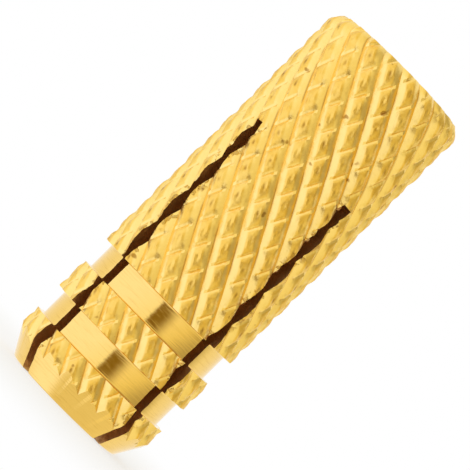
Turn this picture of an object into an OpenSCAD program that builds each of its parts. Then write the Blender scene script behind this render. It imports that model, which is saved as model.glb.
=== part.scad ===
// Brass expansion anchor: a knurled sleeve, split at its tip and threaded from its mouth.
// The tip face lies on z = 0 and the mouth opens along +Z. Millimetres.

/* [Sleeve] */
// Length from the tip face to the mouth face
sleeve_len = 32; // [28:0.5:40]
// Diameter over the crests of the knurl
crest_d = 12; // [11.6:0.1:13]
// How far the rounded mouth edge falls in towards the axis
mouth_fall = 0.6; // [0.3:0.05:0.7]
// How far the rounded mouth edge reaches down from the mouth face
mouth_reach = 1; // [0.8:0.05:1.6]

/* [Tip] */
// How far the tip face lies in from the crests of the knurl
tip_inset = 1.2; // [0.8:0.05:1.5]
// Slope of the tip chamfer, measured from the axis
tip_slope = 30; // [20:1:45]

/* [Turned grooves] */
// Number of smooth grooves turned behind the tip
groove_count = 2; // [1:1:3]
// Height of the first groove's lower edge above the tip face
groove_start = 3.45; // [2.5:0.05:4.5]
// Width of each groove
groove_w = 2.05; // [1.2:0.05:2.8]
// Distance from one groove to the next
groove_pitch = 4.45; // [3.6:0.05:6]
// Depth of the groove floor below the crests of the knurl
groove_depth = 0.625; // [0.3:0.025:0.9]

/* [Knurl] */
// Number of knurl grooves around the sleeve, the same in both directions
knurl_count = 20; // [16:1:24]
// Slope of the deep left-hand grooves, measured from the axis
deep_slope = 32; // [26:0.1:38]
// Depth of the deep grooves
deep_depth = 0.4; // [0.3:0.05:0.6]
// Share of the knurl's pitch that a deep groove takes up
deep_share = 0.55; // [0.35:0.05:0.7]
// Angle around the axis at which a deep groove leaves the tip face
deep_turn = 3; // [0:0.1:18]
// Slope of the shallow right-hand grooves, measured from the axis
cross_slope = 29.1; // [26:0.1:38]
// Depth of the shallow grooves
cross_depth = 0.15; // [0.1:0.05:0.3]
// Share of the knurl's pitch that a shallow groove takes up
cross_share = 0.28; // [0.2:0.02:0.6]
// Angle around the axis at which a shallow groove leaves the tip face
cross_turn = 13.5; // [0:0.1:18]

/* [Slots] */
// Width of the saw cuts that split the tip
slot_w = 0.8; // [0.5:0.02:1.2]
// Length of the saw cuts on the outside, from the tip face
slot_len = 22.8; // [14:0.1:25]
// Number of cuts across the sleeve, each of which opens two slots
slot_cuts = 2; // [1:1:3]
// Diameter of the saw, whose round edge ends the slots
saw_d = 50; // [40:1:80]

/* [Bore] */
// Wall from the bore out to the crests of the knurl, which leaves the tapping size of M10
wall = 1.75; // [1.6:0.05:1.85]
// How much smaller the hole's radius is at the tip face than in the bore
tip_narrowing = 1.25; // [0.5:0.05:1.75]
// Length of the tapered hole, from the tip face up to the thread
taper_len = 10; // [6:0.5:14]
// Width of the countersink around the bore
sink_w = 0.55; // [0.3:0.05:0.75]
// Depth of the countersink
sink_h = 0.55; // [0.3:0.05:1]

/* [Thread] */
// Pitch of the thread
thread_pitch = 1.5; // [1:0.25:2]
// Depth of the thread, from the bore out to its roots
thread_depth = 0.75; // [0.4:0.05:0.9]
// Length over which the thread grows to its full depth
thread_lead = 3; // [1:0.5:5]

/* [Hidden] */

brass = [0.85, 0.66, 0.27];
crest_r = crest_d / 2;
tip_r = crest_r - tip_inset;
groove_r = crest_r - groove_depth;
bore_r = crest_r - wall;
tip_hole_r = bore_r - tip_narrowing;
sink_r = bore_r + sink_w;

// The blank is wider than the crests by this much where the knurl itself is the surface,
// and the cutters run past the ends by the same amount
spare = 0.5;

// Facets of the round faces
round_fn = 120;

// The mouth edge is an arc, tangent to the crests
mouth_r = (pow(mouth_reach, 2) + pow(mouth_fall, 2)) / (2 * mouth_fall);

// Along the axis, one groove of a family follows the next at this distance
deep_pitch = PI * crest_d / (knurl_count * tan(deep_slope));
cross_pitch = PI * crest_d / (knurl_count * tan(cross_slope));

// One diamond of the knurl is a grid of 3 by 3 facets. Its lines are the bottom of a groove
// and the two edges of the ridge beside it, counted here in pitches from the bottom.
deep_lines = [0, deep_share / 2, 1 - deep_share / 2];
cross_lines = [0, cross_share / 2, 1 - cross_share / 2];
lines = len(deep_lines);
around = lines * knurl_count;

// Rows of grid points are numbered by how many lines of one family they lie past the other
rows_per_mm = lines * (1 / deep_pitch + 1 / cross_pitch);
turn_rows = around * (cross_turn - deep_turn) / 360;
first_row = floor(turn_rows - rows_per_mm * spare) - lines;
last_row = ceil(turn_rows + rows_per_mm * (sleeve_len + spare)) + lines;

// Which line of its diamond a line is, and its place in pitches around the axis
function step(n) = n - lines * floor(n / lines);
function line_at(n, steps) = floor(n / lines) + steps[step(n)];

// Where deep line u crosses shallow line v
function knurl_r(u, v) = crest_r - (step(u) == 0 ? deep_depth : step(v) == 0 ? cross_depth : 0);
function knurl_point(u, v) =
    let (
        deep = line_at(u, deep_lines) + knurl_count * deep_turn / 360,
        cross = line_at(v, cross_lines) + knurl_count * cross_turn / 360,
        z = (deep - cross) / (1 / deep_pitch + 1 / cross_pitch),
        angle = (deep - z / deep_pitch) * 360 / knurl_count,
        r = knurl_r(u, v)
    )
    [r * cos(angle), r * sin(angle), z];

// The grid closes on itself around the axis
function grid(u, row) = (row - first_row) * around + (u % around);

// A facet of the grid is split along the line that runs from the bottom of the crossing
// up to the corner of the ridge, so that a nick fades out on the flank of a deep groove
function fades(u, v) = (step(u) == 0 && step(v) == 0)
    || (step(u) == lines - 1 && step(v) == lines - 1);
function facet(u, row) =
    let (
        left = grid(u, row),
        top = grid(u + 1, row + 1),
        right = grid(u + 1, row),
        bottom = grid(u, row - 1)
    )
    fades(u, u - row)
        ? [[left, top, right], [left, right, bottom]]
        : [[left, top, bottom], [top, right, bottom]];

// One turn of the thread is a band between four lines: both edges of the crest and both of the root.
// Their places are counted in pitches, and the crest stays just inside the bore.
thread_lines = [0, 0.25, 0.54, 0.71];
thread_out = [0, 0, 1, 1];
thread_clear = 0.03;
band = len(thread_lines);
thread_steps = 24;
thread_low = taper_len - spare;
thread_rows = band * ceil((sleeve_len + spare - thread_low) / thread_pitch);

function thread_point(row, n) =
    let (
        line = row % band,
        z = thread_low + thread_pitch * (floor(row / band) + thread_lines[line] + n / thread_steps),
        grown = min(1, (z - thread_low) / thread_lead),
        r = bore_r - thread_clear + (thread_depth + thread_clear) * thread_out[line] * grown,
        angle = 360 * n / thread_steps
    )
    [r * cos(angle), r * sin(angle), z];

// After a full turn, a line of the thread goes on as the same line of the next band
function on_thread(row, n) = n == thread_steps ? (row + band) * thread_steps : row * thread_steps + n;

// What the tap takes out of the wall: a right-hand helix, closed on the axis at both ends
module thread_cut() {
    points = [
        for (row = [0 : thread_rows + band])
            for (n = [0 : thread_steps - 1])
                thread_point(row, n)
    ];
    low = len(points);
    high = low + 1;
    ends = [[0, 0, thread_low], [0, 0, thread_low + thread_pitch * (thread_rows / band + 1)]];
    skin = [
        for (row = [0 : thread_rows - 1])
            for (n = [0 : thread_steps - 1])
                each [
                    [on_thread(row, n), on_thread(row + 1, n), on_thread(row + 1, n + 1)],
                    [on_thread(row, n), on_thread(row + 1, n + 1), on_thread(row, n + 1)]
                ]
    ];
    caps = [
        for (n = [0 : thread_steps - 1])
            each [
                [on_thread(0, n), on_thread(0, n + 1), low],
                [on_thread(thread_rows, n + 1), on_thread(thread_rows, n), high]
            ]
    ];
    steps = [
        for (row = [0 : band - 1])
            each [
                [on_thread(row + 1, 0), on_thread(row, 0), low],
                [on_thread(thread_rows + row, 0), on_thread(thread_rows + row + 1, 0), high]
            ]
    ];
    polyhedron(concat(points, ends), concat(skin, caps, steps));
}

// Knurled bar, longer than the sleeve, with its zigzag ends closed on the axis
module knurled_bar() {
    points = [
        for (row = [first_row : last_row])
            for (u = [0 : around - 1])
                knurl_point(u, u - row)
    ];
    low = len(points);
    high = low + 1;
    ends = [[0, 0, -spare], [0, 0, sleeve_len + spare]];
    skin = [
        for (row = [first_row + 1 : last_row - 1])
            for (u = [0 : around - 1])
                each facet(u, row)
    ];
    low_cap = [
        for (u = [0 : around - 1])
            each [
                [grid(u, first_row + 1), grid(u, first_row), low],
                [grid(u, first_row), grid(u + 1, first_row + 1), low]
            ]
    ];
    high_cap = [
        for (u = [0 : around - 1])
            each [
                [grid(u + 1, last_row), grid(u, last_row - 1), high],
                [grid(u + 1, last_row - 1), grid(u + 1, last_row), high]
            ]
    ];
    polyhedron(concat(points, ends), concat(skin, low_cap, high_cap));
}

// Half section of the turned outside: tip chamfer, smooth grooves, square mouth
module outside_section() {
    wide_r = crest_r + spare;
    chamfer_top = (wide_r - tip_r) / tan(tip_slope);
    difference() {
        polygon([
            [0, 0],
            [tip_r, 0],
            [wide_r, chamfer_top],
            [wide_r, sleeve_len],
            [0, sleeve_len]
        ]);
        for (n = [0 : groove_count - 1])
            translate([groove_r, groove_start + n * groove_pitch])
                square([crest_d, groove_w]);
        mouth_corner();
    }
}

// What the rounded mouth edge takes off the half section
module mouth_corner() {
    difference() {
        translate([crest_r - mouth_r, sleeve_len - mouth_reach])
            square([mouth_r + crest_d, mouth_reach + spare]);
        translate([crest_r - mouth_r, sleeve_len - mouth_reach])
            circle(mouth_r, $fn = round_fn);
    }
}

// Half section of the hole: taper at the tip, tapping bore, countersunk mouth
module hole_section() {
    taper = (bore_r - tip_hole_r) / taper_len;
    flare = (sink_r - bore_r) / sink_h;
    polygon([
        [0, -spare],
        [tip_hole_r - taper * spare, -spare],
        [bore_r, taper_len],
        [bore_r, sleeve_len - sink_h],
        [sink_r + flare * spare, sleeve_len + spare],
        [0, sleeve_len + spare]
    ]);
}

// Saw cuts across the tip, with the round run-out that the saw leaves
module slots() {
    saw_r = saw_d / 2;
    saw_z = slot_len - sqrt(pow(saw_r, 2) - pow(crest_r, 2));
    for (cut = [0 : slot_cuts - 1])
        rotate([0, 0, cut * 180 / slot_cuts])
            translate([0, 0, saw_z])
                rotate([90, 0, 0])
                    cylinder(r = saw_r, h = slot_w, center = true, $fn = 2 * round_fn);
}

module anchor_sleeve() {
    color(brass)
        intersection() {
            knurled_bar();
            difference() {
                rotate_extrude($fn = round_fn) outside_section();
                rotate_extrude($fn = round_fn) hole_section();
                thread_cut();
                slots();
            }
        }
}

anchor_sleeve();
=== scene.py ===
# %% [markdown]
# # A brass expansion anchor
# The anchor is one piece of brass: a bar that was knurled, turned, drilled, tapped and sawn. A bolt
# screwed into it spreads the split tip in a drilled hole. This lesson makes it in the workshop's order.
# First the packed CAD model is loaded. It fixes the frame, in metres, with the tip on z = 0 and the mouth
# along +Z, and it gives the two sizes that all else hangs on: the length and the width.

import math

import bpy
import bmesh
from mathutils import Matrix, Vector, noise


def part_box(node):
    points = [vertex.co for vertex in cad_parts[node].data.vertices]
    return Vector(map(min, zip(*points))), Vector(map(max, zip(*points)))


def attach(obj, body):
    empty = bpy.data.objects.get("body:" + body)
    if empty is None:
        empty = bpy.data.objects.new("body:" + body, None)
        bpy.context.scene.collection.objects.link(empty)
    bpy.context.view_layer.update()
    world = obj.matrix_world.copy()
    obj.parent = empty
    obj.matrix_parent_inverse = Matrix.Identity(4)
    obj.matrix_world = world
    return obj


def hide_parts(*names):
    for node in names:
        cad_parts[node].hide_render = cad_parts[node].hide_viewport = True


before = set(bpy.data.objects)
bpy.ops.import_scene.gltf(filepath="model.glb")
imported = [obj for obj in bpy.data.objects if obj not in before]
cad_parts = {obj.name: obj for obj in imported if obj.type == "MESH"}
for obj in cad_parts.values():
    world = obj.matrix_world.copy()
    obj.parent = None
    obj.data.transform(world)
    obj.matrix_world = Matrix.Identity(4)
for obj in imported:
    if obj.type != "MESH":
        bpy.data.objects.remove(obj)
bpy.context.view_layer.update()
NODE = "anchor_sleeve"
MM = 0.001
node_low, node_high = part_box(NODE)
LENGTH = (node_high.z - node_low.z) / MM
CREST_R = (node_high.x - node_low.x) / 2 / MM
print(f"sleeve: {LENGTH:.2f} mm long, {2 * CREST_R:.2f} mm over the knurl")

# %% [markdown]
# ## Arithmetic with nodes
# A rule such as "depth = a * b + c" takes a row of Math nodes, and wiring them by hand hides the rule.
# The small class below lets a node's output be added and multiplied like a number. Each operator adds one
# Math node, so the formulas further down read as they would on paper. It serves both the Geometry Nodes
# tree and the materials, because both use the same Math node.

# %% Wires
def plug(tree, value, socket):
    """Links a wire to a socket, or sets the socket to a plain value."""
    if isinstance(value, Wire):
        tree.links.new(value.socket, socket)
    else:
        socket.default_value = value


def add(tree, kind, plugs=None, **settings):
    """Adds one node with its settings and inputs."""
    made = tree.nodes.new(kind)
    for name, value in settings.items():
        setattr(made, name, value)
    for name, value in (plugs or {}).items():
        plug(tree, value, made.inputs[name])
    return made


class Wire:
    """An output of a node, for use in formulas."""

    def __init__(self, tree, socket):
        self.tree = tree
        self.socket = socket

    def math(self, operation, *others):
        made = add(self.tree, "ShaderNodeMath", operation=operation)
        for value, socket in zip((self, *others), made.inputs):
            plug(self.tree, value, socket)
        return Wire(self.tree, made.outputs[0])

    def __add__(self, other):
        return self.math("ADD", other)

    def __sub__(self, other):
        return self.math("SUBTRACT", other)

    def __mul__(self, other):
        return self.math("MULTIPLY", other)

    def __truediv__(self, other):
        return self.math("DIVIDE", other)

    def ramp(self, low, high):
        """0 below low, 1 above high and a smooth step between."""
        made = add(self.tree, "ShaderNodeMapRange", interpolation_type="SMOOTHSTEP")
        for name, value in (("Value", self), ("From Min", low), ("From Max", high)):
            plug(self.tree, value, made.inputs[name])
        return Wire(self.tree, made.outputs[0])

    def flip(self):
        """1 minus the value."""
        return (self * -1.0) + 1.0


print("a wire knows", ", ".join(name for name in vars(Wire) if not name.startswith("__")), "and + - * /")

# %% [markdown]
# ## Nodes that come up often
# Places are taken apart and put together, and two kinds of noise recur. Noise Texture is smooth and suits
# wear. White Noise jumps from one whole number to the next, so it can give every diamond of the knurl its
# own luck.

# %% Common nodes
def out(tree, made, name=0):
    return Wire(tree, made.outputs[name])


def vector(tree, x, y, z):
    return out(tree, add(tree, "ShaderNodeCombineXYZ", {"X": x, "Y": y, "Z": z}))


def split(tree, place):
    """The three coordinates of a place."""
    parts = add(tree, "ShaderNodeSeparateXYZ", {"Vector": place})
    return [out(tree, parts, axis) for axis in "XYZ"]


def noise_field(tree, place, scale, detail):
    return out(tree, add(tree, "ShaderNodeTexNoise", {"Vector": place, "Scale": scale, "Detail": detail}))


def luck(tree, place):
    """A random number from 0 to 1, the same wherever the place is the same."""
    return out(tree, add(tree, "ShaderNodeTexWhiteNoise", {"Vector": place}), "Value")


print("common nodes:", ", ".join(made.__name__ for made in (out, vector, split, noise_field, luck)))

# %% [markdown]
# ## Two families of grooves
# A knurl is rolled into the bar by two hard wheels. Here they leave 20 deep left-hand grooves, and 20
# shallow right-hand ones that only nick the ridges. From the slope of a family follows its pitch along the
# axis. A place on the knurl is then given by two numbers, counted in grooves: how far it lies across the
# deep family and how far across the shallow one. All sizes are in millimetres and degrees, as in the CAD
# source.

# %% Sizes of the knurl
GROOVES = 20
DEEP_SLOPE, DEEP_TURN = 32.0, 3.0
CROSS_SLOPE, CROSS_TURN = 29.1, 13.5
SPARE = 0.5


def axial_pitch(slope):
    return 2 * math.pi * CREST_R / (GROOVES * math.tan(math.radians(slope)))


DEEP_PITCH = axial_pitch(DEEP_SLOPE)
CROSS_PITCH = axial_pitch(CROSS_SLOPE)
ROWS_PER_MM = 1 / DEEP_PITCH + 1 / CROSS_PITCH
TURN_ROWS = GROOVES * (DEEP_TURN - CROSS_TURN) / 360
FIRST_ROW = math.floor(-SPARE * ROWS_PER_MM - TURN_ROWS) - 1
LAST_ROW = math.ceil((LENGTH + SPARE) * ROWS_PER_MM - TURN_ROWS) + 1
print(f"knurl: {DEEP_PITCH:.3f} and {CROSS_PITCH:.3f} mm along the axis, rows {FIRST_ROW} to {LAST_ROW}")

# %% [markdown]
# ## Closed solids for the tools
# Most of what a lathe and a drill do is a solid of revolution: an outline turned about the axis. The Spin
# tool would do it too, but a loop over rings is as short and leaves the ring count in plain sight. Every
# tool is welded and its faces are turned outwards, because a boolean needs a closed solid that knows its
# inside.

# %% Solids of revolution
TOOL_WELD = 1e-7


def closed_mesh(name, points, faces):
    """A mesh object from points in millimetres, welded, with its faces turned outwards."""
    mesh = bpy.data.meshes.new(name)
    mesh.from_pydata([Vector(p) * MM for p in points], [], faces)
    made = bmesh.new()
    made.from_mesh(mesh)
    bmesh.ops.remove_doubles(made, verts=made.verts, dist=TOOL_WELD)
    bmesh.ops.recalc_face_normals(made, faces=made.faces)
    made.to_mesh(mesh)
    made.free()
    result = bpy.data.objects.new(name, mesh)
    bpy.context.scene.collection.objects.link(result)
    return result


def revolve(name, outline, steps):
    """A closed solid from an outline of (radius, height) that starts and ends on the axis."""
    points, faces = [], []
    for r, z in outline:
        for n in range(steps):
            angle = 2 * math.pi * n / steps
            points.append((r * math.cos(angle), r * math.sin(angle), z))
    for ring in range(len(outline) - 1):
        for n in range(steps):
            a, b = ring * steps + n, ring * steps + (n + 1) % steps
            faces.append((a, b, b + steps, a + steps))
    return closed_mesh(name, points, faces)


print(f"tools are welded at {TOOL_WELD / MM:.4f} mm")

# %% [markdown]
# ## The turned outside
# On the lathe the bar gets its length, a chamfer at the tip and two smooth grooves. All of that is one
# outline. It is wider than the crests wherever the knurl itself is the surface, because this solid will
# trim the knurled bar and should touch it nowhere else. The edges of the lands are broken a little, as a
# lathe hand does with a file, and the floors of the grooves have the small fillets of a tool's round nose.

# %% Turned blank
TIP_R, TIP_SLOPE = 4.8, 30.0
TIP_ROUND, TIP_ROUND_RISE = 0.1, 0.06
TURNED_START, TURNED_WIDTH, TURNED_PITCH, TURNED_R = 3.45, 2.05, 4.45, 5.375
EDGE_BREAK = 0.07
FLOOR_FILLET, FILLET_STEPS = 0.12, 4
WIDE_R = CREST_R + SPARE
BLANK_STEPS = 240


def arc(centre, radius, start, end, steps):
    """Points of an arc in the (radius, height) plane, angles in degrees."""
    angles = [math.radians(start + (end - start) * n / steps) for n in range(steps + 1)]
    return [(centre[0] + radius * math.cos(a), centre[1] + radius * math.sin(a)) for a in angles]


def turned_groove(low):
    """One smooth groove, from its lower wall over the filleted floor to its upper wall."""
    high, edge = low + TURNED_WIDTH, CREST_R - EDGE_BREAK
    slant = SPARE + EDGE_BREAK
    floor_r = TURNED_R + FLOOR_FILLET
    return [
        (WIDE_R, low - slant), (edge, low),
        *arc((floor_r, low + FLOOR_FILLET), FLOOR_FILLET, 270, 180, FILLET_STEPS),
        *arc((floor_r, high - FLOOR_FILLET), FLOOR_FILLET, 180, 90, FILLET_STEPS),
        (edge, high), (WIDE_R, high + slant),
    ]


chamfer_rise = 1 / math.tan(math.radians(TIP_SLOPE))
outline = [
    (0, 0), (TIP_R - TIP_ROUND, 0), (TIP_R, TIP_ROUND_RISE),
    (WIDE_R, (WIDE_R - TIP_R) * chamfer_rise + TIP_ROUND_RISE),
    *turned_groove(TURNED_START), *turned_groove(TURNED_START + TURNED_PITCH),
    (WIDE_R, LENGTH), (0, LENGTH),
]
turned_blank = revolve("turned_blank", outline, BLANK_STEPS)
print(f"turned blank: {len(outline)} points in the outline, {len(turned_blank.data.polygons)} faces")

# %% [markdown]
# ## The hole
# The hole narrows toward the tip, so that the bolt pushes the legs apart as it comes in. Above the taper it
# is straight, and the mouth is countersunk to lead the bolt in. Drill, reamer and countersink are one
# outline here, because the boolean only needs what they take away together.

# %% Drill
BORE_R, TIP_HOLE_R, TAPER_LENGTH = 4.25, 3.0, 10.0
SINK_R, SINK_DEPTH = 4.8, 0.55
DRILL_STEPS = 120
taper = (BORE_R - TIP_HOLE_R) / TAPER_LENGTH
flare = (SINK_R - BORE_R) / SINK_DEPTH
drill = revolve("drill", [
    (0, -SPARE), (TIP_HOLE_R - SPARE * taper, -SPARE),
    (BORE_R, TAPER_LENGTH), (BORE_R, LENGTH - SINK_DEPTH),
    (SINK_R + SPARE * flare, LENGTH + SPARE), (0, LENGTH + SPARE),
], DRILL_STEPS)
print(f"drill: {2 * BORE_R:.1f} mm, narrowing to {2 * TIP_HOLE_R:.1f} mm at the tip")

# %% [markdown]
# ## The thread
# The tap cuts an M10 thread. A thread could be a bump in the material, but it shows plainly when one looks
# into the mouth, so it is cut for real. The tap is a tube of rows that climb as a helix, so a row that comes
# round a full turn meets the row one pitch above it. Its teeth grow over the first millimetres, as the lead
# of a real tap makes them.

# %% Form of the tap
THREAD_R, THREAD_PITCH = 5.0, 1.5
TAP_INSET = 0.03
TAP_LEAD = 3.0
TAP_STEPS = 72
# share of a pitch, and how far the tap stands out there, from 0 to 1
TAP_FORM = ((0.0, 0.0), (0.25, 0.0), (0.54, 1.0), (0.71, 1.0))
tap_core_r = BORE_R - TAP_INSET
tap_low = TAPER_LENGTH - SPARE
tap_turns = math.ceil((LENGTH + 2 * THREAD_PITCH - tap_low) / THREAD_PITCH)
tap_rows = tap_turns * len(TAP_FORM)


def tap_point(row, step):
    share, height = TAP_FORM[row % len(TAP_FORM)]
    angle = 2 * math.pi * step / TAP_STEPS
    z = tap_low + THREAD_PITCH * (row // len(TAP_FORM) + share + step / TAP_STEPS)
    lead = min(1.0, max(0.0, (z - tap_low) / TAP_LEAD))
    r = tap_core_r + (THREAD_R - tap_core_r) * height * lead
    return (r * math.cos(angle), r * math.sin(angle), z)


def tap_index(row, step):
    """A full turn later, a row goes on as the row one pitch above it."""
    if step == TAP_STEPS:
        row, step = row + len(TAP_FORM), 0
    return row * TAP_STEPS + step


tap_points = [tap_point(row, step) for row in range(tap_rows + 1) for step in range(TAP_STEPS)]
tap_faces = [
    (tap_index(row, step), tap_index(row, step + 1), tap_index(row + 1, step + 1), tap_index(row + 1, step))
    for row in range(tap_rows - len(TAP_FORM)) for step in range(TAP_STEPS)
]
print(f"tap: {tap_turns} turns, {len(tap_faces)} faces, still open at both ends")

# %% [markdown]
# ## The ends of the tap
# An open tube can't cut. Its two open rims climb like the thread, so a flat lid would not fit. Each rim is
# drawn to a point on the axis instead, which closes it whatever its shape. The rims are the edges with only
# one face.

# %% Tap
def fan_ends(points, faces):
    """Closes both open ends of a tube with fans to points on the axis."""
    edges = {}
    for face in faces:
        for a, b in zip(face, face[1:] + face[:1]):
            edges[frozenset((a, b))] = None if frozenset((a, b)) in edges else (a, b)
    rims = [edge for edge in edges.values() if edge]
    heights = [points[a][2] for a, b in rims]
    middle = (min(heights) + max(heights)) / 2
    low, high = len(points), len(points) + 1
    points = points + [(0, 0, min(heights)), (0, 0, max(heights))]
    return points, faces + [(b, a, low if points[a][2] < middle else high) for a, b in rims]


tap = closed_mesh("tap", *fan_ends(tap_points, tap_faces))
print(f"tap: {len(tap.data.polygons)} faces with its ends")

# %% [markdown]
# ## The saw cuts
# Two passes of a slitting saw split the tip in four. The saw's round edge leaves a run-out at the top of
# each slot. A clean slab would give dead straight edges, but a saw in soft brass tears the edge a little, so
# the two walls of each slab are fine grids that wander by a few hundredths of a millimetre.

# %% Slitting saw
SLOT_WIDTH, SLOT_LENGTH, SAW_R = 0.8, 22.8, 25.0
SAW_STEP = 0.2
SAW_WANDER = 0.045
# waves to the millimetre, their share of the wander, and a shift of the seed
SAW_WAVES = ((1.2, 1.0, 0), (4.0, 0.8, 9))
saw_centre = SLOT_LENGTH - math.sqrt(SAW_R ** 2 - CREST_R ** 2)


def saw_wall(x, z, side, seed):
    rough = 0.0
    for pace, share, shift in SAW_WAVES:
        rough += share * noise.noise(Vector((x * pace, z * pace, seed + shift)))
    return side * (SLOT_WIDTH / 2 + SAW_WANDER * rough)


def saw_cut(name, turn, seed):
    """A slab across the whole sleeve: two wandering walls, joined along their rims."""
    across = round(2 * WIDE_R / SAW_STEP)
    upward = round(SLOT_LENGTH / SAW_STEP)
    points, faces = [], []
    for side in (-1, 1):
        for i in range(across + 1):
            x = -WIDE_R + 2 * WIDE_R * i / across
            top = saw_centre + math.sqrt(SAW_R ** 2 - x ** 2)
            for j in range(upward + 1):
                z = -SPARE + (top + SPARE) * j / upward
                points.append((x, saw_wall(x, z, side, seed + side), z))
    half, column = (across + 1) * (upward + 1), upward + 1
    for i in range(across):
        for j in range(upward):
            a = i * column + j
            faces.append((a, a + column, a + column + 1, a + 1))
            faces.append((half + a, half + a + 1, half + a + column + 1, half + a + column))
    rim = [i * column for i in range(across)] + [across * column + j for j in range(upward)]
    rim += [i * column + upward for i in range(across, 0, -1)] + list(range(upward, 0, -1))
    for a, b in zip(rim, rim[1:] + rim[:1]):
        faces.append((a, b, half + b, half + a))
    cut = closed_mesh(name, points, faces)
    cut.data.transform(Matrix.Rotation(math.radians(turn), 4, "Z"))
    return cut


saw_x = saw_cut("saw_x", turn=0, seed=3)
saw_y = saw_cut("saw_y", turn=90, seed=17)
print(f"saw cuts: {len(saw_x.data.polygons)} faces each")

# %% [markdown]
# ## One diamond of the knurl
# The depth of the knurl is a rule, so it is a formula and not a sculpture. Across the deep family it is a V
# with a soft crown on the ridge. Across the shallow family the ridge sinks toward a narrow nick. The deeper
# of the two counts, so the deep grooves run through unbroken and the nicks stop at their flanks. The wheels
# leave a small pit unpressed in the middle of a diamond. White noise on the number of the diamond makes no
# two alike.

# %% Depth of the knurl
DEEP_BEND, CROSS_BEND = 2.0, 1.5
NICK_LEAST, NICK_SPREAD = 0.75, 0.5
PIT_ACROSS, PIT_ALONG = 0.065, 0.13
PIT_LUCK = (0.2, 1.0)
PIT_SEED = 7.0


def from_groove(coordinate):
    """Distance to the nearest groove of a family, 0.5 at most, counted in grooves."""
    return coordinate.math("PINGPONG", 0.5)


def vee(distance, share):
    """1 at the bottom of a groove and 0 from its edge on."""
    return (distance / (share * 0.5)).math("MINIMUM", 1.0).flip()


def sink(distance, bend):
    """1 at the bottom of a groove and 0 halfway to the next, with a rounded course."""
    return (distance * 2.0).flip().math("POWER", bend)


def pit_bowl(deep, cross):
    """1 in the middle of a diamond, falling off all round."""
    deep_off = (deep.math("FRACT") - 0.5) / PIT_ACROSS
    cross_off = (cross.math("FRACT") - 0.5) / PIT_ALONG
    return ((deep_off * deep_off + cross_off * cross_off) * -1.0).math("EXPONENT")


def knurl_depth(tree, size, deep, cross):
    """How deep the knurl is at a place given in grooves of both families."""
    to_deep, to_cross = from_groove(deep), from_groove(cross)
    ridge = vee(to_deep, size["Deep share"]) * size["Deep depth"]
    ridge = ridge + sink(to_deep, DEEP_BEND) * size["Deep crown"]
    nick_at = vector(tree, deep.math("FLOOR"), (cross + 0.5).math("FLOOR"), size["Seed"])
    nick = vee(to_cross, size["Cross share"]) * size["Cross depth"]
    nick = nick * (luck(tree, nick_at) * NICK_SPREAD + NICK_LEAST)
    nick = nick + sink(to_cross, CROSS_BEND) * size["Cross crown"]
    pit_at = vector(tree, deep.math("FLOOR"), cross.math("FLOOR"), size["Seed"] + PIT_SEED)
    pit = pit_bowl(deep, cross) * size["Pit depth"] * luck(tree, pit_at).ramp(*PIT_LUCK)
    return ridge.math("MAXIMUM", nick) + pit


print(f"pits: {2 * PIT_ACROSS:.2f} by {2 * PIT_ALONG:.2f} of a groove")

# %% [markdown]
# ## Tiles
# The diamond repeats hundreds of times round the bar, so it is the work of Geometry Nodes. One flat tile
# stands for a diamond and is instanced at every crossing of the two families. It has only a few dozen faces,
# because every face counts hundreds of times. Its edges fall on the bottoms of the grooves, so that these
# stay sharp lines.

# %% Diamond tiles
TILE = 8


def diamond_tiles(tree, size):
    """A flat tile at every crossing, with both coordinates counted in grooves."""
    index = out(tree, add(tree, "GeometryNodeInputIndex"))
    column = index.math("MODULO", size["Grooves"])
    row = (index / size["Grooves"]).math("FLOOR") + size["First row"]
    centre = vector(tree, column + 0.5, column - row + 0.5, 0.0)
    crossings = add(tree, "GeometryNodePoints",
                    {"Count": size["Grooves"] * size["Rows"], "Position": centre})
    tile = add(tree, "GeometryNodeMeshGrid",
               {"Size X": 1.0, "Size Y": 1.0, "Vertices X": TILE + 1, "Vertices Y": TILE + 1})
    tiles = add(tree, "GeometryNodeInstanceOnPoints",
                {"Points": out(tree, crossings), "Instance": out(tree, tile, "Mesh")})
    return out(tree, add(tree, "GeometryNodeRealizeInstances", {"Geometry": out(tree, tiles)}))


print(f"tile of {TILE} by {TILE} faces, {GROOVES * (LAST_ROW - FIRST_ROW + 1)} tiles")

# %% [markdown]
# ## Round the bar
# A single Set Position will wrap all tiles round the bar and give each point its depth. An Array with a
# Simple Deform could wrap a strip as well, but then every diamond would be the same. The two coordinates in
# grooves give the height and the angle, since both families are helices. A little smooth noise makes the
# depth uneven. Toward the mouth the radius falls off in an arc, as where the wheels ran over the bar's edge.

# %% Place on the bar
LUMP_SCALE, LUMP_DETAIL = 1.6, 1.5
MOUTH_LIMIT = 0.97


def position(tree):
    return split(tree, out(tree, add(tree, "GeometryNodeInputPosition")))


def wrapped_place(tree, size):
    """Where a point of the flat tiles comes to lie on the bar."""
    deep, cross = position(tree)[:2]
    deep_turned = deep + size["Grooves"] * size["Deep turn"] / 360.0
    cross_turned = cross + size["Grooves"] * size["Cross turn"] / 360.0
    row_height = size["Deep pitch"] * size["Cross pitch"] / (size["Deep pitch"] + size["Cross pitch"])
    z = (deep_turned - cross_turned) * row_height
    angle = (deep_turned - z / size["Deep pitch"]) * (2 * math.pi) / size["Grooves"]
    cosine, sine = angle.math("COSINE"), angle.math("SINE")
    smooth_at = vector(tree, cosine * size["Crest radius"], sine * size["Crest radius"], z)
    lumps = noise_field(tree, smooth_at, LUMP_SCALE, LUMP_DETAIL) * size["Unevenness"] * 2.0
    depth = (knurl_depth(tree, size, deep, cross) + lumps).math("MAXIMUM", 0.0)
    round_r = size["Mouth radius"]
    past_mouth = (z - size["Mouth height"]).math("MAXIMUM", 0.0).math("MINIMUM", round_r * MOUTH_LIMIT)
    fall = round_r - (round_r * round_r - past_mouth * past_mouth).math("SQRT")
    radius = (size["Crest radius"] - depth - fall) * MM
    return vector(tree, cosine * radius, sine * radius, z * MM)


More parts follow.
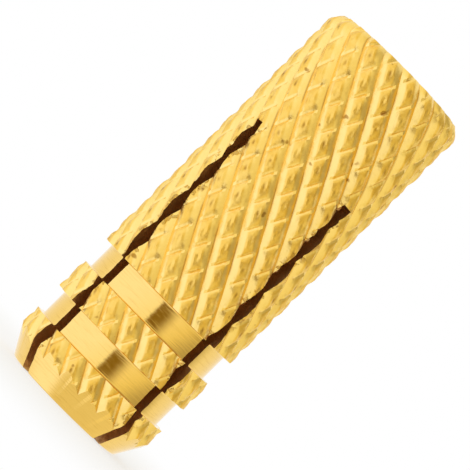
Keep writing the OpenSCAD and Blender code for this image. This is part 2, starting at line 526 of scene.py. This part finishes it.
print(f"a row of diamonds is {1 / ROWS_PER_MM:.2f} mm high")

# %% [markdown]
# ## A closed bar
# The wrapped tiles are a tube whose seams are welded by distance. Its jagged ends are closed like the tap's:
# an extruded rim is drawn to a point on the axis, here with nodes. They lie outside the sleeve and are cut
# off later.

# %% Knurled bar
TILE_WELD = 4e-6
ONE_FACE, TOLERANCE = 1.0, 0.1


def welded(tree, geometry):
    merged = add(tree, "GeometryNodeMergeByDistance", {"Geometry": geometry, "Distance": TILE_WELD})
    return out(tree, merged)


def closed_ends(tree, tube):
    """Draws the open rims of the tube to points on the axis, and turns the faces outwards."""
    faces_at_edge = out(tree, add(tree, "GeometryNodeInputMeshEdgeNeighbors"))
    rim = faces_at_edge.math("COMPARE", ONE_FACE, TOLERANCE)
    skirt = add(tree, "GeometryNodeExtrudeMesh",
                {"Mesh": tube, "Selection": rim, "Offset Scale": 0.0}, mode="EDGES")
    upper = position(tree)[2].math("GREATER_THAN", LENGTH * MM / 2)
    pole = vector(tree, 0.0, 0.0, upper * ((LENGTH + 2 * SPARE) * MM) - SPARE * MM)
    capped = add(tree, "GeometryNodeSetPosition",
                 {"Geometry": out(tree, skirt), "Selection": out(tree, skirt, "Top"), "Position": pole})
    return out(tree, add(tree, "GeometryNodeFlipFaces", {"Mesh": welded(tree, out(tree, capped))}))


def knurled_bar(tree, size):
    """The bar before it is turned."""
    wrapped = add(tree, "GeometryNodeSetPosition",
                  {"Geometry": diamond_tiles(tree, size), "Position": wrapped_place(tree, size)})
    return closed_ends(tree, welded(tree, out(tree, wrapped)))


print(f"tiles are welded at {TILE_WELD / MM:.4f} mm")

# %% [markdown]
# ## What each tool leaves
# A knurled face, a turned one and a sawn one look different, and the material has to know which is which.
# After the booleans it would be hard to tell them apart, so every tool carries its finish from the start: a
# number stored on its faces, which the boolean hands on to the faces that the tool cut. The Manifold solver
# is quick and wants closed solids, which all tools here are.

# %% Finishes and booleans
FINISHES = ("knurled", "turned", "drilled", "sawn")


def finished(tree, geometry, finish):
    """Marks the faces of one tool with the number of the finish that it leaves."""
    marked = add(tree, "GeometryNodeStoreNamedAttribute",
                 {"Geometry": geometry, "Name": "finish", "Value": float(FINISHES.index(finish))},
                 data_type="FLOAT", domain="FACE")
    return out(tree, marked)


def tool(tree, shape, finish):
    info = add(tree, "GeometryNodeObjectInfo", {"Object": shape})
    return finished(tree, out(tree, info, "Geometry"), finish)


def boolean(tree, operation, first, *others):
    made = add(tree, "GeometryNodeMeshBoolean", operation=operation, solver="MANIFOLD")
    plug(tree, first, made.inputs["Mesh 1" if operation == "DIFFERENCE" else "Mesh 2"])
    for other in others:
        plug(tree, other, made.inputs["Mesh 2"])
    return out(tree, made, "Mesh")


print("finishes:", ", ".join(f"{number} {finish}" for number, finish in enumerate(FINISHES)))

# %% [markdown]
# ## Inputs of the tree
# The sizes of the knurl are named inputs of the tree, so that another knurl is a matter of other numbers.
# The seed is one of them and is fixed, so every run gives the same sleeve. The shares say how much of a
# pitch a groove takes. They are eighths, like the faces along a tile, so that the groove's edges fall on
# edges of the mesh.

# %% Inputs of the sleeve tree
MOUTH_FALL, MOUTH_REACH = 0.6, 1.0
SLEEVE_INPUTS = {
    "Crest radius": CREST_R,
    "Grooves": GROOVES,
    "First row": FIRST_ROW,
    "Rows": LAST_ROW - FIRST_ROW + 1,
    "Deep pitch": DEEP_PITCH,
    "Deep turn": DEEP_TURN,
    "Deep depth": 0.35,
    "Deep share": 6 / 8,
    "Deep crown": 0.05,
    "Cross pitch": CROSS_PITCH,
    "Cross turn": CROSS_TURN,
    "Cross depth": 0.08,
    "Cross share": 2 / 8,
    "Cross crown": 0.20,
    "Pit depth": 0.072,
    "Unevenness": 0.012,
    "Mouth height": LENGTH - MOUTH_REACH,
    "Mouth radius": (MOUTH_REACH ** 2 + MOUTH_FALL ** 2) / (2 * MOUTH_FALL),
    "Seed": 4.0,
}
print(f"the sleeve tree has {len(SLEEVE_INPUTS)} inputs")

# %% [markdown]
# ## The sleeve as one tree
# The tree does what the workshop does: knurl the bar, trim it to the turned blank, drill and tap it, saw it.
# Faces are smooth, and only edges that bend by more than a set angle stay crisp. That keeps the saw and
# lathe edges sharp and the crowns soft. Realize Instances and Set Material come last, because an export only
# takes real faces.

# %% Sleeve tree
SHARP_ANGLE = math.radians(26)


def tree_inputs(tree):
    """Makes the tree's inputs, and gives back a wire for each."""
    for name, value in SLEEVE_INPUTS.items():
        kind = "NodeSocketInt" if isinstance(value, int) else "NodeSocketFloat"
        tree.interface.new_socket(name, in_out="INPUT", socket_type=kind).default_value = value
    entry = tree.nodes.new("NodeGroupInput")
    return {name: out(tree, entry, name) for name in SLEEVE_INPUTS}


def shaded(tree, body):
    """Smooth faces, with crisp edges where the surface bends sharply."""
    smooth = add(tree, "GeometryNodeSetShadeSmooth",
                 {"Geometry": body, "Shade Smooth": True}, domain="FACE")
    bend = out(tree, add(tree, "GeometryNodeInputMeshEdgeAngle"), "Unsigned Angle")
    crisp = add(tree, "GeometryNodeSetShadeSmooth",
                {"Geometry": out(tree, smooth), "Selection": bend.math("GREATER_THAN", SHARP_ANGLE),
                 "Shade Smooth": False}, domain="EDGE")
    return out(tree, crisp)


def sleeve_tree(material):
    tree = bpy.data.node_groups.new("knurled_sleeve", "GeometryNodeTree")
    size = tree_inputs(tree)
    tree.interface.new_socket("Geometry", in_out="OUTPUT", socket_type="NodeSocketGeometry")
    body = finished(tree, knurled_bar(tree, size), "knurled")
    body = boolean(tree, "INTERSECT", body, tool(tree, turned_blank, "turned"))
    body = boolean(tree, "DIFFERENCE", body, tool(tree, drill, "drilled"), tool(tree, tap, "drilled"))
    body = boolean(tree, "DIFFERENCE", body, tool(tree, saw_x, "sawn"), tool(tree, saw_y, "sawn"))
    real = add(tree, "GeometryNodeRealizeInstances", {"Geometry": shaded(tree, body)})
    dressed = add(tree, "GeometryNodeSetMaterial", {"Geometry": out(tree, real), "Material": material})
    leave = tree.nodes.new("NodeGroupOutput")
    plug(tree, out(tree, dressed), leave.inputs["Geometry"])
    return tree


print(f"edges stay crisp above {math.degrees(SHARP_ANGLE):.0f} degrees")

# %% [markdown]
# ## Brass
# One metal, four finishes. The knurl is satin and mottled on its crowns, and burnished where the wheels
# pressed, on the flanks and in the nicks, where its paler colour is also a painted highlight. The turned
# bands are smooth with fine lines around them. The drilled and sawn walls are rough, and their brown is
# painted shade for the inside of the slots and the bore. A material for each would repeat most nodes, so
# one material reads the finish that the tree stored.

# %% Brass colours
CROWN_LIGHT, CROWN_DEEP = (0.94, 0.635, 0.137), (0.90, 0.55, 0.08)
# the burnished colour is paler than the crowns: partly burnished brass, partly a painted highlight on flanks
# and nicks
BURNISHED_AND_HIGHLIGHT = (0.98, 0.70, 0.20)
TURNED, LINED = (0.92, 0.615, 0.16), (0.74, 0.45, 0.09)
# dark brown for real stains, and for the painted shade in pits, groove bottoms and by the slots
TARNISH_AND_SHADE = (0.36, 0.15, 0.012)
# brown of the drilled and sawn walls: painted shade for the inside of the slots and the bore
INSIDE_SHADE = (0.66, 0.38, 0.14)


def mix_colour(tree, factor, first, second):
    made = add(tree, "ShaderNodeMix", data_type="RGBA")
    plug(tree, factor, made.inputs["Factor"])
    for value, socket in ((first, made.inputs[6]), (second, made.inputs[7])):
        plug(tree, value if isinstance(value, Wire) else (*value, 1.0), socket)
    return Wire(tree, made.outputs[2])


print("brass on the crowns, from", CROWN_LIGHT, "to", CROWN_DEEP)

# %% [markdown]
# ## Where the finishes lie
# Before the colours are mixed, each mark on the metal gets a mask from 0 to 1. Where on the knurl a point
# lies follows from its place, by the same rule as the shape, so painted shade sits in the pits and groove
# bottoms, and burrs with brown specks of grime and painted shade lie along the slots, without a texture to
# line up. Four noises, from patches of a few millimetres down to the grain of the metal, break the masks
# up, because real wear is never even.

# %% Masks of the brass
# noises: scale to the metre, and detail
PATCHES, SPOTS, DENTS, GRAIN = (420.0, 4.0), (900.0, 2.0), (2300.0, 2.0), (5200.0, 3.0)
LINES, LINES_ROUND, LINES_ALONG = (1.0, 1.0), 0.7, 14.0
# edges on the knurl, counted in grooves, the last one for painted shade in the groove bottoms,
# and beside the slots, in millimetres
FLANK_EDGE, NICK_EDGE, GROOVE_SHADE_EDGE = (0.24, 0.34), (0.05, 0.12), (0.01, 0.06)
BURR_EDGE, BURR_END = (0.1, 0.45), (SLOT_LENGTH, SLOT_LENGTH + 0.3)
# where a noise sets in, for mottle, painted shade in groove bottoms, burrs, painted shade in pits, and
# stains
MOTTLE_FROM, GROOVE_SHADE_FROM, BURR_FROM = (0.35, 0.65), (0.42, 0.6), (0.52, 0.62)
PIT_SHADE_FROM, SPOT_STAIN_FROM = (0.47, 0.61), (0.70, 0.76)
# shares of the dark brown: painted shade in groove bottoms, and grime with painted shade by the burrs
GROOVE_SHADE_SHARE, BURR_GRIME_AND_SHADE_SHARE = 0.6, 0.7
FINISH_TOLERANCE = 0.4


def brass_masks(tree):
    where = out(tree, add(tree, "ShaderNodeTexCoord"), "Object")
    x, y, z = (axis / MM for axis in split(tree, where))
    angle = y.math("ARCTAN2", x) / (2 * math.pi) * GROOVES
    deep = angle - GROOVES * DEEP_TURN / 360 + z / DEEP_PITCH
    cross = angle - GROOVES * CROSS_TURN / 360 - z / CROSS_PITCH
    patches, spots, dents, grain = (
        noise_field(tree, where, *form) for form in (PATCHES, SPOTS, DENTS, GRAIN))
    lines_at = vector(tree, x * LINES_ROUND, y * LINES_ROUND, z * LINES_ALONG)
    mask = {"dents": dents, "grain": grain, "lines": noise_field(tree, lines_at, *LINES)}

    finish = out(tree, add(tree, "ShaderNodeAttribute", attribute_name="finish"), "Fac")
    for name in ("knurled", "turned"):
        mask[name] = finish.math("COMPARE", float(FINISHES.index(name)), FINISH_TOLERANCE)
    mask["inside"] = (mask["knurled"] + mask["turned"]).flip()
    mask["mottle"] = patches.ramp(*MOTTLE_FROM) * 0.5 + dents.ramp(*MOTTLE_FROM) * 0.5
    mask["flank"] = from_groove(deep).ramp(*FLANK_EDGE).flip() * mask["knurled"]
    nick = from_groove(cross).ramp(*NICK_EDGE).flip() * mask["knurled"]
    # flanks and nicks: burnished, so smoother, and painted paler as a highlight
    mask["pressed"] = mask["flank"].math("MAXIMUM", nick)
    mask["pit"] = pit_bowl(deep, cross)

    from_saw = x.math("ABSOLUTE").math("MINIMUM", y.math("ABSOLUTE")) - SLOT_WIDTH / 2
    beside_slot = from_saw.ramp(*BURR_EDGE).flip() * z.ramp(*BURR_END).flip()
    # beside the slots: burrs as a bump, and brown specks that are partly grime and partly painted shade of
    # the burrs
    mask["burr"] = beside_slot * dents.ramp(*BURR_FROM)
    # painted shade: the bottoms of the deep grooves are darkened in patches, where shade falls in the crease
    groove_shade = from_groove(deep).ramp(*GROOVE_SHADE_EDGE).flip() * patches.ramp(*GROOVE_SHADE_FROM)
    # painted shade: the pits of some diamonds are darkened, where shadow falls in the hollow
    stain = mask["pit"] * spots.ramp(*PIT_SHADE_FROM)
    # real spot stains join the painted shade of pits and groove bottoms and the specks by the burrs
    for other in (spots.ramp(*SPOT_STAIN_FROM), groove_shade * GROOVE_SHADE_SHARE, mask["burr"] * BURR_GRIME_AND_SHADE_SHARE):
        stain = stain.math("MAXIMUM", other)
    mask["stain"] = stain * mask["knurled"]
    return mask


print(f"burrs reach {SLOT_WIDTH / 2 + BURR_EDGE[1]:.2f} mm from the middle of a slot")

# %% [markdown]
# ## The brass itself
# With the masks at hand the material reads like a painter's list: crowns, burnished parts that are also
# painted paler as a highlight, turned bands with their lines, stains together with painted shade, and the
# walls inside, painted brown as shade. Roughness and bump are sums of the same masks. The bump is only
# for marks that are too fine for the mesh. Metallic is one number all over, so it is set on the shader.

# %% Brass material
KNURLED_ROUGH, PRESSED_ROUGH, TURNED_ROUGH = 0.42, -0.12, 0.10
INSIDE_ROUGH, GRAIN_ROUGH = 0.45, 0.12
# the last share is how far stains and painted shade go toward the dark brown
LINES_FROM, LINES_TINT, STAIN_AND_SHADE_TINT = (0.5, 0.75), 0.4, 0.75
# heights in millimetres
GRAIN_BUMP, DENT_BUMP, FLANK_DENT_BUMP = 0.006, 0.050, 0.026
BURR_BUMP, PIT_BUMP, LINES_BUMP = 0.06, 0.035, 0.013


def brass_colour(tree, mask):
    lines = mask["lines"].ramp(*LINES_FROM) * mask["turned"] * LINES_TINT
    colour = mix_colour(tree, mask["mottle"], CROWN_LIGHT, CROWN_DEEP)
    # flanks and nicks take the paler burnished colour, which is partly a painted highlight
    colour = mix_colour(tree, mask["pressed"], colour, BURNISHED_AND_HIGHLIGHT)
    colour = mix_colour(tree, mask["turned"], colour, TURNED)
    colour = mix_colour(tree, lines, colour, LINED)
    # stains, and painted shade in pits, groove bottoms and beside the slots, all in the dark brown
    colour = mix_colour(tree, mask["stain"] * STAIN_AND_SHADE_TINT, colour, TARNISH_AND_SHADE)
    # the drilled and sawn walls get the brown that paints the shade inside the slots and the bore
    return mix_colour(tree, mask["inside"], colour, INSIDE_SHADE)


def brass_roughness(mask):
    rough = mask["knurled"] * KNURLED_ROUGH + mask["pressed"] * PRESSED_ROUGH
    rough = rough + mask["turned"] * TURNED_ROUGH + mask["inside"] * INSIDE_ROUGH
    return rough + (mask["grain"] - 0.5) * GRAIN_ROUGH


def brass_height(mask):
    dent = mask["flank"] * (FLANK_DENT_BUMP - DENT_BUMP) + DENT_BUMP
    height = mask["grain"] * GRAIN_BUMP + mask["dents"] * dent
    height = height + (mask["burr"] * BURR_BUMP - mask["pit"] * PIT_BUMP) * mask["knurled"]
    return height * mask["turned"].flip() + mask["lines"] * LINES_BUMP * mask["turned"]


brass_material = bpy.data.materials.new("knurled_brass")
brass_material.use_nodes = True
brass_tree = brass_material.node_tree
brass_shader = brass_tree.nodes["Principled BSDF"]
brass_mask = brass_masks(brass_tree)
plug(brass_tree, brass_colour(brass_tree, brass_mask), brass_shader.inputs["Base Color"])
plug(brass_tree, brass_roughness(brass_mask), brass_shader.inputs["Roughness"])
brass_shader.inputs["Metallic"].default_value = 1.0
bump = add(brass_tree, "ShaderNodeBump",
           {"Strength": 1.0, "Distance": MM, "Height": brass_height(brass_mask)})
plug(brass_tree, out(brass_tree, bump), brass_shader.inputs["Normal"])
print("brass:", len(brass_tree.nodes), "nodes")

# %% [markdown]
# ## Make the sleeve
# The tree is run once as a modifier on an empty mesh. Its result is copied into a plain mesh, and the
# modifier and the tools are thrown away. A live modifier would give the same picture, but the plain mesh can
# be measured and exported as it is.

# %% Sleeve
holder = bpy.data.objects.new("sleeve_holder", bpy.data.meshes.new("sleeve_holder"))
bpy.context.scene.collection.objects.link(holder)
modifier = holder.modifiers.new("knurled_sleeve", "NODES")
modifier.node_group = sleeve_tree(brass_material)
for item in modifier.node_group.interface.items_tree:
    if item.in_out == "INPUT":
        modifier[item.identifier] = SLEEVE_INPUTS[item.name]
graph = bpy.context.evaluated_depsgraph_get()
sleeve_mesh = bpy.data.meshes.new_from_object(holder.evaluated_get(graph))
sleeve = bpy.data.objects.new("brass_sleeve", sleeve_mesh)
bpy.context.scene.collection.objects.link(sleeve)
holder.modifiers.remove(modifier)
for used in (holder, turned_blank, drill, tap, saw_x, saw_y):
    bpy.data.objects.remove(used)
sleeve_mesh.calc_loop_triangles()
print(f"sleeve: {len(sleeve_mesh.vertices)} points, {len(sleeve_mesh.loop_triangles)} triangles")

# %% [markdown]
# ## Check it and put it in place
# A closed sleeve has no open edges, so they are counted, and only a closed one has a true volume, which is
# printed. The sleeve then rides on the root body and takes the place of the CAD solid, which is hidden.

# %% Check and place
check = bmesh.new()
check.from_mesh(sleeve_mesh)
open_edges = sum(1 for edge in check.edges if not edge.is_manifold)
print(f"open edges: {open_edges}, volume {check.calc_volume() / MM ** 3:.1f} mm3")
check.free()
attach(sleeve, "root")
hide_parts(NODE)

# %% [markdown]
# ## Which way the photograph looks
# The anchor was photographed from the side, with the camera rolled so that the axis runs up to the right.
# Light and camera are both placed by that view, so its three directions come first: toward the camera, to
# its right, and up along the axis. They are fixed in the scene and don't move with other views.

# %% Directions of the view
CAMERA_AZIMUTH = math.radians(46.5)
towards_camera = Vector((math.sin(CAMERA_AZIMUTH), -math.cos(CAMERA_AZIMUTH), 0))
camera_right = Vector((math.cos(CAMERA_AZIMUTH), math.sin(CAMERA_AZIMUTH), 0))
up = Vector((0, 0, 1))
print("toward the camera:", tuple(round(value, 3) for value in towards_camera))

# %% [markdown]
# ## The colours of the room
# Metal shows its surroundings, so they matter more than any lamp. A few large cards would do, but a world
# that depends on the direction is smoother and has no edges to hide. It is pale and brightest on the left,
# dimmer and a little warmer on the right and below, white behind the anchor like the backdrop, and it has
# one dark strip where the camera stands. That strip draws the dark band down the smooth grooves.

# %% Colours of the room
BRIGHT_FROM = (camera_right * -0.8 + up * -0.55 + towards_camera * 0.2).normalized()
# from the dim side, 0, to the bright side, 1
ROOM = (
    (0.05, (0.46, 0.41, 0.28)), (0.14, (0.57, 0.51, 0.34)), (0.27, (0.96, 0.88, 0.56)),
    (0.50, (1.08, 1.05, 0.92)), (0.85, (1.18, 1.23, 1.60)),
)
BACKDROP, BEHIND = (1.0, 1.0, 1.0), (-0.45, 0.1)
BELOW, BELOW_LEVEL, BELOW_RIGHT = (0.88, 0.83, 0.65), (-0.85, -0.55), (-0.45, -0.25)
STRIP, STRIP_LEVEL = (0.26, 0.17, 0.035), (0.2, 0.42)
STRIP_LEFT, STRIP_RIGHT = (-5.0, -2.5), (10.0, 34.0)


def ramp_colour(tree, factor, stops):
    made = add(tree, "ShaderNodeValToRGB", {"Fac": factor})
    ramp = made.color_ramp
    while len(ramp.elements) < len(stops):
        ramp.elements.new(0.5)
    for element, (place, colour) in zip(ramp.elements, stops):
        element.position = place
        element.color = (*colour, 1.0)
    return out(tree, made, "Color")


def along(tree, direction, axis):
    product = add(tree, "ShaderNodeVectorMath", {0: direction, 1: axis}, operation="DOT_PRODUCT")
    return out(tree, product, "Value")


def room_colour(tree):
    direction = out(tree, add(tree, "ShaderNodeTexCoord"), "Generated")
    rightward, forward, upward, brightward = (
        along(tree, direction, axis) for axis in (camera_right, towards_camera, up, BRIGHT_FROM))
    colour = ramp_colour(tree, brightward * 0.5 + 0.5, ROOM)
    colour = mix_colour(tree, forward.ramp(*BEHIND).flip(), colour, BACKDROP)
    below = upward.ramp(*BELOW_LEVEL).flip() * rightward.ramp(*BELOW_RIGHT)
    colour = mix_colour(tree, below, colour, BELOW)
    bearing = rightward.math("ARCTAN2", forward).math("DEGREES")
    strip = bearing.ramp(*STRIP_LEFT) * bearing.ramp(*STRIP_RIGHT).flip()
    strip = strip * upward.math("ABSOLUTE").ramp(*STRIP_LEVEL).flip()
    return mix_colour(tree, strip, colour, STRIP)


print(f"room: {len(ROOM)} tones, a strip from {STRIP_LEFT[0]:.0f} to {STRIP_RIGHT[1]:.0f} degrees")

# %% [markdown]
# ## The room
# The photograph's background is plain white. Turning up the light until everything behind is white would
# wash out the brass, so the world shows white to camera rays only, with Light Path, and keeps its tones for
# everything else.

# %% Room
def camera_ray(tree):
    return out(tree, add(tree, "ShaderNodeLightPath"), "Is Camera Ray")


def show_white(tree, surface, white, share, output):
    """Shows white in place of the surface, by a share from 0 to 1."""
    mixed = add(tree, "ShaderNodeMixShader", {"Fac": share})
    plug(tree, out(tree, surface), mixed.inputs[1])
    plug(tree, out(tree, white), mixed.inputs[2])
    plug(tree, out(tree, mixed), tree.nodes[output].inputs["Surface"])


world = bpy.data.worlds.new("pale_room")
world.use_nodes = True
world_tree = world.node_tree
room = world_tree.nodes["Background"]
plug(world_tree, room_colour(world_tree), room.inputs["Color"])
white_room = add(world_tree, "ShaderNodeBackground", {"Color": (*BACKDROP, 1), "Strength": 1.0})
show_white(world_tree, room, white_room, camera_ray(world_tree), "World Output")
bpy.context.scene.world = world
print("room:", len(world_tree.nodes), "nodes")

# %% [markdown]
# ## The key lamp
# One large softbox on the left lights the floor and gives the anchor its soft shadow. The reflections
# already come from the room, and a square lamp mirrored in every crown would look like a second light, so
# the lamp is kept out of them.

# %% Key lamp
KEY_BEARING = math.radians(-65)
KEY_DISTANCE, KEY_HEIGHT, KEY_SIDE = 300, 60, 260
KEY_POWER = 0.08
key_lamp = bpy.data.lights.new("key_softbox", "AREA")
key_lamp.shape = "RECTANGLE"
key_lamp.size = KEY_SIDE * MM
key_lamp.size_y = KEY_SIDE * MM
key_lamp.energy = KEY_POWER
key = bpy.data.objects.new("key_softbox", key_lamp)
key_from = towards_camera * math.cos(KEY_BEARING) + camera_right * math.sin(KEY_BEARING)
key.location = (key_from * KEY_DISTANCE + up * KEY_HEIGHT) * MM
key.rotation_mode = "QUATERNION"
key.rotation_quaternion = (up * LENGTH / 2 * MM - key.location).to_track_quat("-Z", "Y")
key.visible_glossy = False
bpy.context.scene.collection.objects.link(key)
print(f"key lamp: {KEY_SIDE} mm wide, {KEY_DISTANCE} mm away")

# %% [markdown]
# ## The floor
# The anchor stands on a pale matte disc. To camera rays the floor is mostly white, and fully so away from
# the anchor, while the shadow at its foot stays. In the photograph light also reaches the anchor from beyond
# its tip, where this floor would be mirrored instead, so the floor is kept out of the reflections.

# %% Floor
FLOOR_R, FLOOR_CORNERS = 400.0, 96
FLOOR_COLOUR, FLOOR_ROUGH = (0.92, 0.92, 0.91, 1), 0.8
FLOOR_FADE, FLOOR_WHITE = (10.0, 45.0), 0.65
floor_mesh = bpy.data.meshes.new("floor")
turns = [2 * math.pi * n / FLOOR_CORNERS for n in range(FLOOR_CORNERS)]
corners = [Vector((math.cos(turn), math.sin(turn), 0)) * FLOOR_R * MM for turn in turns]
floor_mesh.from_pydata(corners, [], [tuple(range(FLOOR_CORNERS))])
floor = bpy.data.objects.new("floor", floor_mesh)
bpy.context.scene.collection.objects.link(floor)

floor_material = bpy.data.materials.new("pale_floor")
floor_material.use_nodes = True
floor_tree = floor_material.node_tree
matte = floor_tree.nodes["Principled BSDF"]
matte.inputs["Base Color"].default_value = FLOOR_COLOUR
matte.inputs["Roughness"].default_value = FLOOR_ROUGH
floor_place = out(floor_tree, add(floor_tree, "ShaderNodeTexCoord"), "Object")
distance = add(floor_tree, "ShaderNodeVectorMath", {0: floor_place}, operation="LENGTH")
fade = (out(floor_tree, distance, "Value") / MM).ramp(*FLOOR_FADE)
white_floor = add(floor_tree, "ShaderNodeEmission", {"Color": (*BACKDROP, 1), "Strength": 1.0})
white_share = camera_ray(floor_tree) * (fade * (1 - FLOOR_WHITE) + FLOOR_WHITE)
show_white(floor_tree, matte, white_floor, white_share, "Material Output")
floor_mesh.materials.append(floor_material)
floor.visible_glossy = False
print(f"floor: {2 * FLOOR_R:.0f} mm across")

# %% [markdown]
# ## The camera
# The curve of the two end rims in the photograph gives the camera's distance, which is about seven times
# the anchor's length, so the perspective is faint. The lens follows from that distance and from how many
# pixels a millimetre takes. The camera is rolled by the slant of the axis. The view transform Standard keeps
# colours as they are written.

# %% Camera
CAMERA_ELEVATION = math.radians(-0.8)
CAMERA_DISTANCE, AIM_HEIGHT = 229.0, 16.31
IMAGE_HALF, PIXELS_PER_MM = 235.0, 14.77
SENSOR_WIDTH = 36.0
AXIS_IN_IMAGE = math.radians(44.7)
CLIP_NEAR, CLIP_FAR = 0.01, 10.0
aim = up * AIM_HEIGHT * MM
back = towards_camera * math.cos(CAMERA_ELEVATION) + up * math.sin(CAMERA_ELEVATION)
view_up = back.cross(camera_right)
camera_x = view_up * math.cos(AXIS_IN_IMAGE) + camera_right * math.sin(AXIS_IN_IMAGE)
camera_y = view_up * math.sin(AXIS_IN_IMAGE) - camera_right * math.cos(AXIS_IN_IMAGE)
camera_data = bpy.data.cameras.new("camera")
camera_data.sensor_width = SENSOR_WIDTH
camera_data.lens = SENSOR_WIDTH / 2 * CAMERA_DISTANCE * PIXELS_PER_MM / IMAGE_HALF
camera_data.clip_start, camera_data.clip_end = CLIP_NEAR, CLIP_FAR
camera = bpy.data.objects.new("camera", camera_data)
bpy.context.scene.collection.objects.link(camera)
rolled = Matrix((camera_x, camera_y, back)).transposed().to_4x4()
camera.matrix_world = Matrix.Translation(aim + back * CAMERA_DISTANCE * MM) @ rolled
bpy.context.scene.camera = camera
bpy.context.scene.view_settings.view_transform = "Standard"
print(f"camera: lens {camera_data.lens:.0f} mm at {CAMERA_DISTANCE:.0f} mm")

# %% [markdown]
# ## Sizes
# The dressed sleeve has to stay inside the box of the CAD solid, because others will place the part by that
# box.
